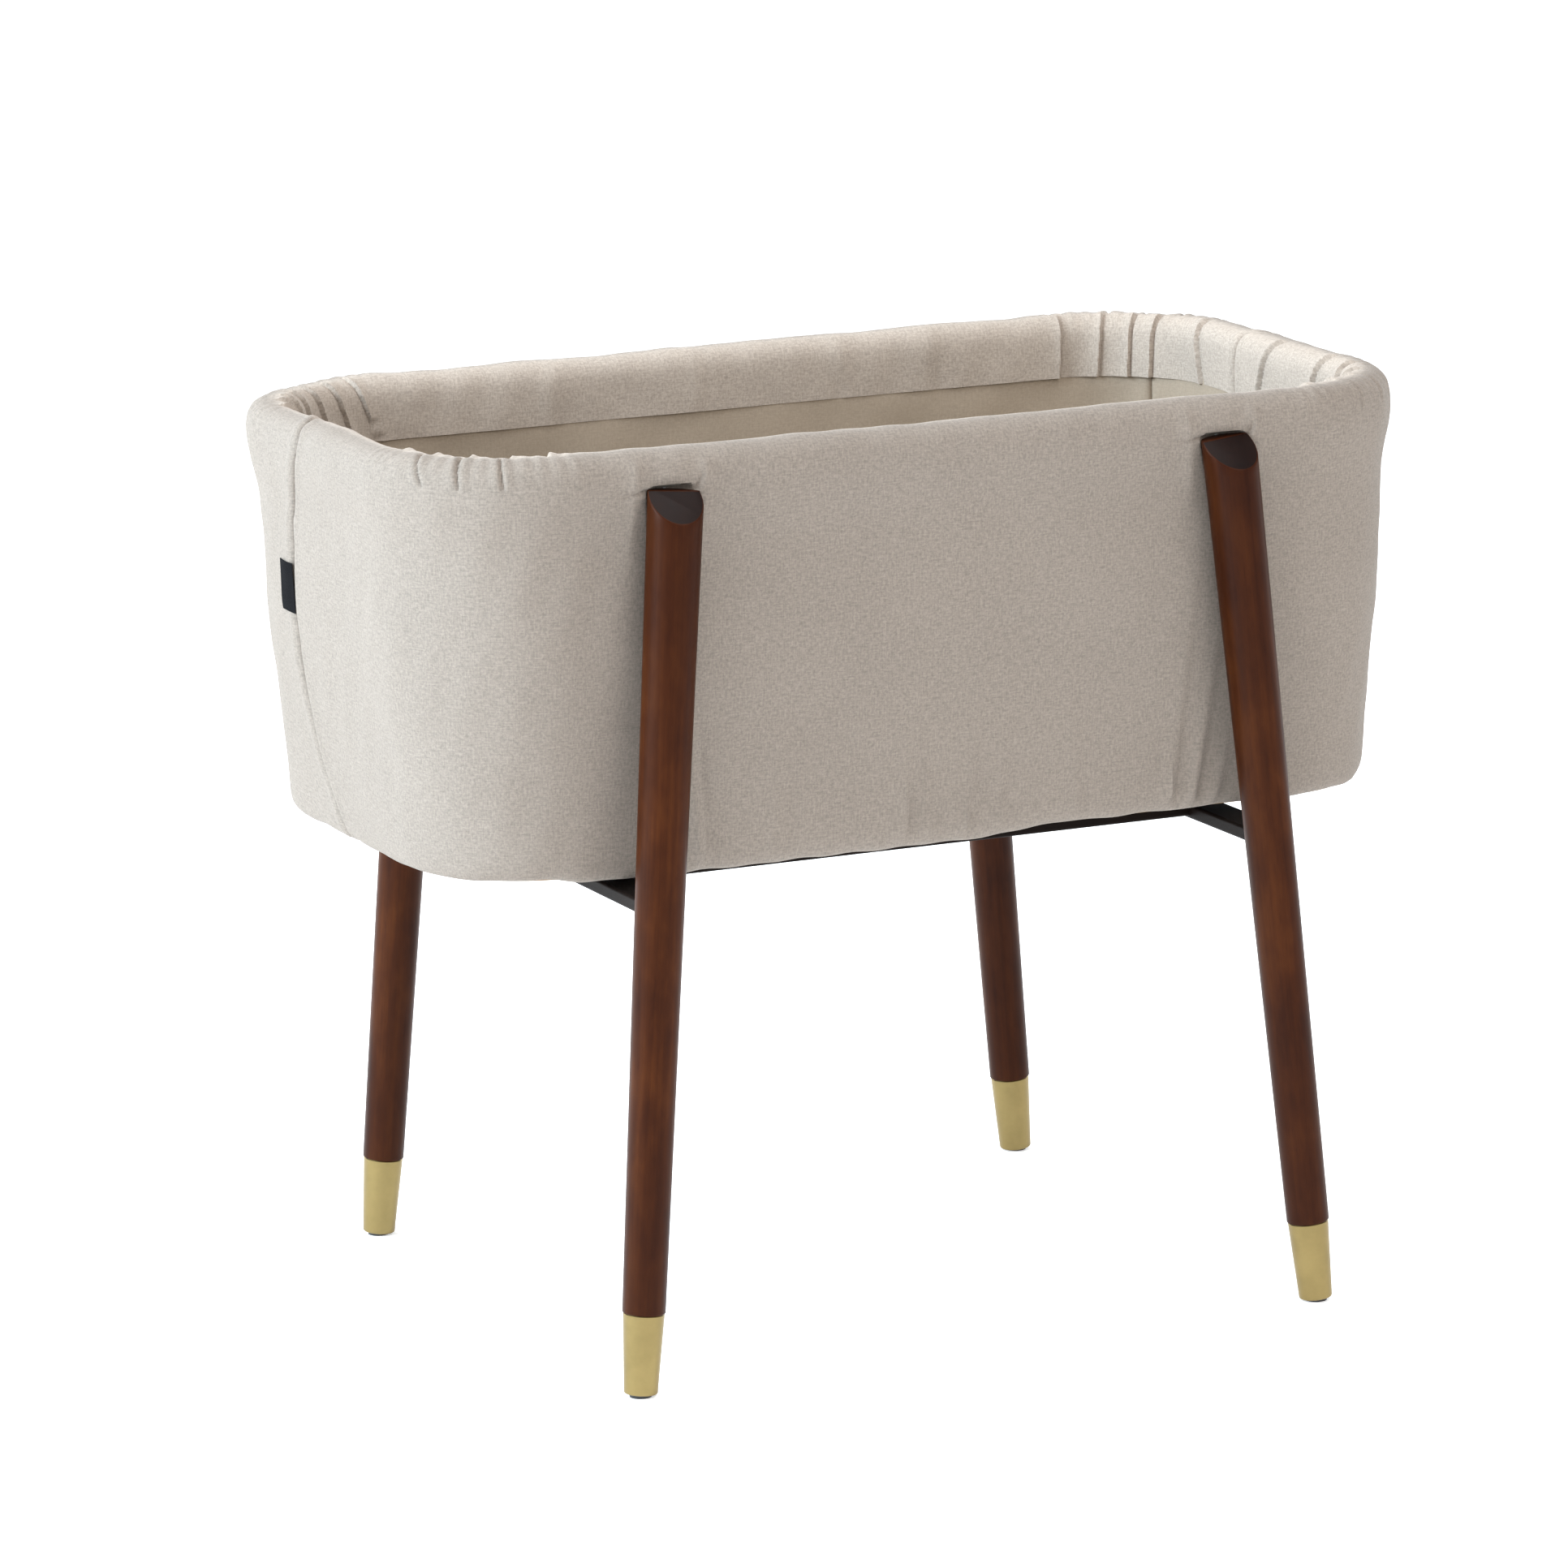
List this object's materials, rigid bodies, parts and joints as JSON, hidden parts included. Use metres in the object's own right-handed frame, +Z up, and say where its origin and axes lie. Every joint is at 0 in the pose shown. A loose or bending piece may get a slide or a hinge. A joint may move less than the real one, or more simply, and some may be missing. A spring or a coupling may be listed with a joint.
{
  "type": "bassinet on stand",
  "caption": "Oval-ended fabric bassinet with a padded rolled rim and a lift-out mattress, carried on splayed wooden legs with brass ferrules.",
  "frame": {"origin": "on the floor under the middle of the basket", "axes": "+X along the basket, -Y the front, +Z up"},
  "size_m": [0.904, 0.6044, 0.7549],
  "materials": {
    "stained_wood": "satin lacquered walnut-brown stain",
    "brass": "satin brushed",
    "insert_brass": "machined",
    "nylon": "moulded nylon",
    "dark_rail": "satin dark brown powder coat",
    "zinc_steel": "zinc plated",
    "plywood": "bare birch plywood",
    "bottom_cloth": "non-woven dust cloth",
    "foam": "open-cell foam",
    "cover_fabric": "fine plain-weave greige fabric",
    "lining_fabric": "fine plain-weave taupe fabric",
    "mattress_fabric": "cotton jersey",
    "label_fabric": "black woven tape"
  },
  "bodies": {
    "bassinet": {"leg_front_left": "stained_wood", "leg_front_right": "stained_wood", "leg_rear_left": "stained_wood", "leg_rear_right": "stained_wood", "ferrule_front_left": "brass", "ferrule_front_right": "brass", "ferrule_rear_left": "brass", "ferrule_rear_right": "brass", "foot_glides": "nylon", "cross_rail_left": "dark_rail", "cross_rail_right": "dark_rail", "rail_end_plugs": "zinc_steel", "rail_studs": "zinc_steel", "long_rail_front": "dark_rail", "long_rail_rear": "dark_rail", "ring_half_left": "zinc_steel", "ring_half_right": "zinc_steel", "ring_spigots": "zinc_steel", "ring_screws": "zinc_steel", "leg_bracket_front_left": "zinc_steel", "leg_bracket_front_right": "zinc_steel", "leg_bracket_rear_left": "zinc_steel", "leg_bracket_rear_right": "zinc_steel", "leg_bolts": "zinc_steel", "leg_inserts": "insert_brass", "base_board": "plywood", "base_screws": "zinc_steel", "bottom_cloth": "bottom_cloth", "wall_padding_front": "foam", "wall_padding_rear": "foam", "outer_cover_front": "cover_fabric", "outer_cover_rear": "cover_fabric", "lining_front": "lining_fabric", "lining_rear": "lining_fabric", "lining_left": "lining_fabric", "lining_right": "lining_fabric", "side_label": "label_fabric"},
    "mattress": {"mattress_core": "foam", "mattress_cover": "mattress_fabric"}
  },
  "joints": [
    {"name": "mattress_lift_out", "type": "slide", "parent": "bassinet", "child": "mattress", "axis": [0, 0, 1], "range_m": [0, 0.4]}
  ]
}
